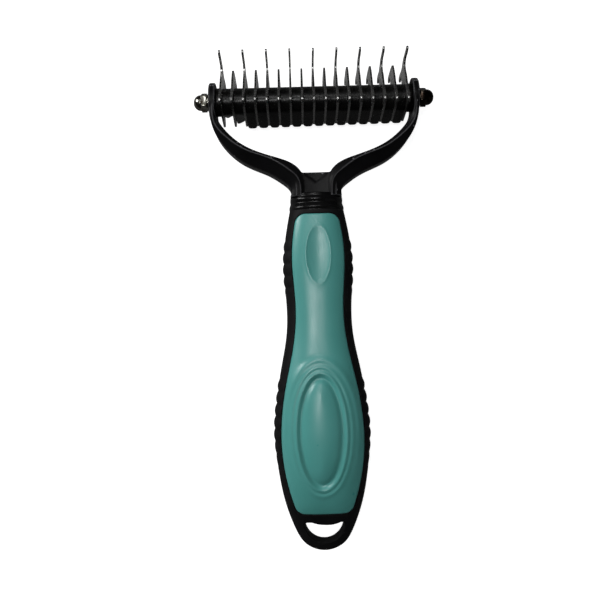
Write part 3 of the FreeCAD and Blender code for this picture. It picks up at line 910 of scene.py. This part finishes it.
def yoke_plastic():
    paint = Paint("yoke_plastic", (0.0035, 0.0035, 0.0038), 0.4, IOR=1.46, Specular_IOR_Level=0.1)
    cloud = paint.ramp(paint.noise(11, 3), 0.3, 0.7, 0, 1)
    base = paint.mix(cloud, (0.0028, 0.0028, 0.003), (0.005, 0.005, 0.0054))
    # The yoke's edges are painted much lighter: partly wear, partly a painted highlight along the arms'
    # ridge.
    paint.colour(paint.mix(paint.edge_wear_and_highlight(0.51, 0.56), base, (0.11, 0.11, 0.117)))
    paint.roughness(paint.ramp(paint.noise(4, 5), 0.25, 0.75, 0.3, 0.4))
    paint.raise_by(paint.noise(0.3, 2), 0.012, 0.5)
    paint.raise_by(paint.noise(1.6, 3, (4, 1, 1)), 0.012, 0.4)
    return paint.material


def collar_plastic():
    paint = Paint("collar_plastic", (0.0035, 0.0035, 0.0038), 0.22, IOR=1.46, Specular_IOR_Level=0.2)
    cloud = paint.ramp(paint.noise(6, 3), 0.3, 0.7, 0, 1)
    paint.colour(paint.mix(cloud, (0.0028, 0.0028, 0.003), (0.0045, 0.0045, 0.0048)))
    paint.roughness(paint.ramp(paint.noise(2.5, 4), 0.25, 0.75, 0.18, 0.24))
    paint.raise_by(paint.noise(0.4, 2), 0.008, 0.25)
    return paint.material


def spacer_plastic():
    paint = Paint("spacer_plastic", (0.004, 0.004, 0.004), 0.26, IOR=1.47, Specular_IOR_Level=0.16)
    cloud = paint.ramp(paint.noise(7, 3), 0.3, 0.7, 0, 1)
    dust = paint.ramp(paint.noise(0.7, 4, (1, 2.5, 2.5)), 0.6, 0.8, 0, 0.5)
    base = paint.mix(cloud, (0.0025, 0.0025, 0.0027), (0.0048, 0.0048, 0.0044))
    paint.colour(paint.mix(dust, base, (0.014, 0.014, 0.012)))
    paint.roughness(paint.ramp(paint.noise(2.2, 4), 0.25, 0.75, 0.2, 0.34))
    paint.raise_by(paint.noise(0.5, 2, (1, 14, 14)), 0.03, 0.55)
    paint.raise_by(paint.noise(2.6, 2), 0.05, 0.5)
    return paint.material


def blade_steel():
    paint = Paint("blade_steel", (0.85, 0.85, 0.84), 0.24, Metallic=1.0)
    cloud = paint.ramp(paint.noise(5, 4), 0.3, 0.7, 0, 1)
    face = paint.mix(cloud, (0.84, 0.84, 0.83), (0.93, 0.93, 0.92))
    stain = paint.ramp(paint.noise(1.4, 5), 0.62, 0.8, 0, 0.4)
    face = paint.mix(stain, face, (0.62, 0.605, 0.58))
    # The plates' cut edges are painted dark, far darker than the faces: painted shade.
    cut = paint.mix(cloud, (0.2, 0.2, 0.195), (0.3, 0.3, 0.295))
    on_face = paint.facing_x(0.6, 0.9)
    paint.colour(paint.mix(on_face, cut, face))
    paint.roughness(paint.ramp(paint.noise(0.9, 3, (8, 8, 0.5)), 0.25, 0.75, 0.2, 0.34))
    paint.raise_by(paint.noise(0.22, 2, (20, 20, 1)), 0.002, 0.3)
    return paint.material


def nut_plating(name, clean, tarnished, cover):
    """Bright plating that has gone brown in places. cover is the share of it that has."""
    paint = Paint(name, clean, 0.14, Metallic=1.0)
    patch = paint.ramp(paint.noise(1.8, 5), 0.62 - 0.4 * cover, 0.78 - 0.3 * cover, 0, 1)
    paint.colour(paint.mix(patch, clean, tarnished))
    paint.roughness(paint.ramp(paint.noise(1.1, 4), 0.3, 0.7, 0.09, 0.26))
    paint.raise_by(paint.noise(0.5, 3), 0.012, 0.5)
    return paint.material


def rod_steel():
    """Bright steel with bands at the pitch of the thread that isn't modelled."""
    paint = Paint("rod_steel", (0.5, 0.5, 0.48), 0.3, Metallic=1.0)
    wave = paint.nodes.new("ShaderNodeTexWave")
    wave.bands_direction = "X"
    wave.inputs["Scale"].default_value = 1 / (THREAD_PITCH * MM * BANDS_PER_SCALE)
    paint.links.new(paint.coordinates, wave.inputs["Vector"])
    # The thread's grooves are painted darker than its crests, with the same wave as the bump: painted
    # shade.
    paint.colour(paint.mix(wave.outputs["Fac"], (0.35, 0.35, 0.33), (0.6, 0.6, 0.58)))
    paint.raise_by(wave.outputs["Fac"], 0.3, 1.0)
    return paint.material


def core_plastic():
    paint = Paint("core_plastic", (0.02, 0.02, 0.02), 0.45)
    cloud = paint.ramp(paint.noise(8, 3), 0.3, 0.7, 0, 1)
    paint.colour(paint.mix(cloud, (0.015, 0.015, 0.016), (0.03, 0.03, 0.03)))
    paint.raise_by(paint.noise(0.6, 2), 0.02, 0.5)
    return paint.material


# ---------------------------------------------------------------- the object

def build_object():
    """Every piece: the moulded ones as meshes of their own, the metal ones as their CAD nodes."""
    teal = teal_plastic()
    panel_piece("front_panel", 1, teal)
    panel_piece("back_panel", -1, teal)
    grip_piece(rubber())
    collar_piece(collar_plastic())
    yoke_piece(yoke_plastic())
    cam = spacer_plastic()
    for number in range(1, PLATE_COUNT):
        spacer_piece(number, cam)
    steel = blade_steel()
    for name in sorted(NODES):
        if name.startswith("blade_"):
            dress_node(name, steel, bevel=0.1)
        elif name.startswith("end_bush"):
            dress_node(name, cam, bevel=0.3)
    bright = nut_plating("nut_plating", (0.24, 0.235, 0.21), (0.05, 0.045, 0.03), 0.5)
    # The right nut's plating is a much darker copy of the left one's: painted shade, with tarnished
    # patches as well.
    dull = nut_plating("nut_plating_shaded_and_tarnished", (0.03, 0.025, 0.02), (0.012, 0.008, 0.006), 0.75)
    for side, plating in (("left", bright), ("right", dull)):
        dress_node(f"cap_nut_{side}", plating, bevel=0.12, crease=25)
        dress_node(f"nut_washer_{side}", plating, bevel=0.1)
    rod = rod_steel()
    dress_node("threaded_rod", rod, bevel=0.0)
    dress_node("handle_core", core_plastic(), bevel=0.0)
    dress_node("shank_pin", rod, bevel=0.2)


# ---------------------------------------------------------------- camera, light and floor

CAMERA_AT = (-7.9, -83.72, 300.5)
CAMERA_ROLL = -1.5
LENS = 42.93
FLOOR_GLOW = 0.92            # straight to the camera
FLOOR_GLOW_MIRRORED = 0.04   # in reflections
FLOOR_MIRRORED = (0.09, 0.09, 0.09)  # its colour there
FLOOR_HALF = 1.6             # metres
FLOOR_GAP = 0.0004           # metres from the object's underside down to it
ROOM_HORIZON, ROOM_TOP = 0.05, 0.02
ROOM_TOP_FROM = 0.6          # height, of 1 straight up, from which the room has its top's grey
ROOM_SEEN = 0.8              # added to the room's grey where the camera looks past the floor
LIGHTS_AIM = (0, -84, 0)
# Rectangular lights: name, place, size and watts.
LIGHTS = [
    ("overhead", (-110, -40, 850), (90, 240), 1.9),
    ("head_light", (-30, 300, 830), (100, 150), 0.7),
    ("window", (-640, 300, 330), (240, 450), 4.7),
    ("ceiling", (-150, 300, 750), (600, 600), 0.8),
    ("right_fill", (560, -300, 420), (400, 600), 0.1),
]


def add_camera():
    data = bpy.data.cameras.new("camera")
    data.lens = LENS
    data.sensor_width = 36
    data.clip_start, data.clip_end = 0.01, 20
    camera = bpy.data.objects.new("camera", data)
    camera.location = place(CAMERA_AT)
    camera.rotation_euler = (0, 0, math.radians(CAMERA_ROLL))
    bpy.context.scene.collection.objects.link(camera)
    bpy.context.scene.camera = camera


def add_light(name, at, size, power):
    """Soft white light, aimed at the middle of the tool."""
    data = bpy.data.lights.new(name, "AREA")
    data.shape = "RECTANGLE"
    data.size, data.size_y = size[0] * MM, size[1] * MM
    data.energy = power
    light = bpy.data.objects.new(name, data)
    light.location = place(at)
    towards = Vector(place(LIGHTS_AIM)) - light.location
    light.rotation_euler = towards.to_track_quat("-Z", "Y").to_euler()
    bpy.context.scene.collection.objects.link(light)


def add_floor():
    """White table. Straight to the camera it glows, so that shadows on it stay faint."""
    low = CAD_BOX[0].z - FLOOR_GAP
    corners = [(FLOOR_HALF * x, FLOOR_HALF * y, low) for x, y in ((-1, -1), (1, -1), (1, 1), (-1, 1))]
    mesh = bpy.data.meshes.new("floor")
    mesh.from_pydata(corners, [], [(0, 1, 2, 3)])
    floor = bpy.data.objects.new("floor", mesh)
    bpy.context.scene.collection.objects.link(floor)
    paint = Paint("floor_white", (0.42, 0.42, 0.42), 0.9)
    nodes, links = paint.nodes, paint.links
    path = nodes.new("ShaderNodeLightPath")
    lit = paint.mix(paint.noise(60, 2), (0.41, 0.41, 0.41), (0.43, 0.43, 0.43))
    paint.colour(paint.mix(path.outputs["Is Glossy Ray"], lit, FLOOR_MIRRORED))
    mirrored = nodes.new("ShaderNodeMath")
    mirrored.operation = "MULTIPLY"
    mirrored.inputs[1].default_value = FLOOR_GLOW_MIRRORED
    links.new(path.outputs["Is Glossy Ray"], mirrored.inputs[0])
    glow = nodes.new("ShaderNodeMath")
    glow.operation = "MULTIPLY_ADD"
    glow.inputs[1].default_value = FLOOR_GLOW
    links.new(path.outputs["Is Camera Ray"], glow.inputs[0])
    links.new(mirrored.outputs[0], glow.inputs[2])
    paint.shader.inputs["Emission Color"].default_value = (1, 1, 1, 1)
    links.new(glow.outputs[0], paint.shader.inputs["Emission Strength"])
    mesh.materials.append(paint.material)


def add_world():
    """Dim room: a dark ceiling that lightens towards the horizon."""
    world = bpy.data.worlds.new("room")
    bpy.context.scene.world = world
    world.use_nodes = True
    nodes, links = world.node_tree.nodes, world.node_tree.links
    background = nodes["Background"]
    direction = nodes.new("ShaderNodeTexCoord")
    split = nodes.new("ShaderNodeSeparateXYZ")
    height = nodes.new("ShaderNodeMapRange")
    height.inputs["From Min"].default_value = 0.0
    height.inputs["From Max"].default_value = ROOM_TOP_FROM
    height.inputs["To Min"].default_value = ROOM_HORIZON
    height.inputs["To Max"].default_value = ROOM_TOP
    seen = nodes.new("ShaderNodeMath")
    seen.operation = "MULTIPLY_ADD"
    seen.inputs[1].default_value = ROOM_SEEN
    links.new(direction.outputs["Generated"], split.inputs["Vector"])
    links.new(split.outputs["Z"], height.inputs["Value"])
    links.new(nodes.new("ShaderNodeLightPath").outputs["Is Camera Ray"], seen.inputs[0])
    links.new(height.outputs["Result"], seen.inputs[2])
    links.new(seen.outputs[0], background.inputs["Color"])


def set_stage():
    add_camera()
    add_world()
    add_floor()
    for light in LIGHTS:
        add_light(*light)
    view = bpy.context.scene.view_settings
    view.view_transform = "Standard"
    view.look = "None"


build_object()
set_stage()
bpy.context.view_layer.update()
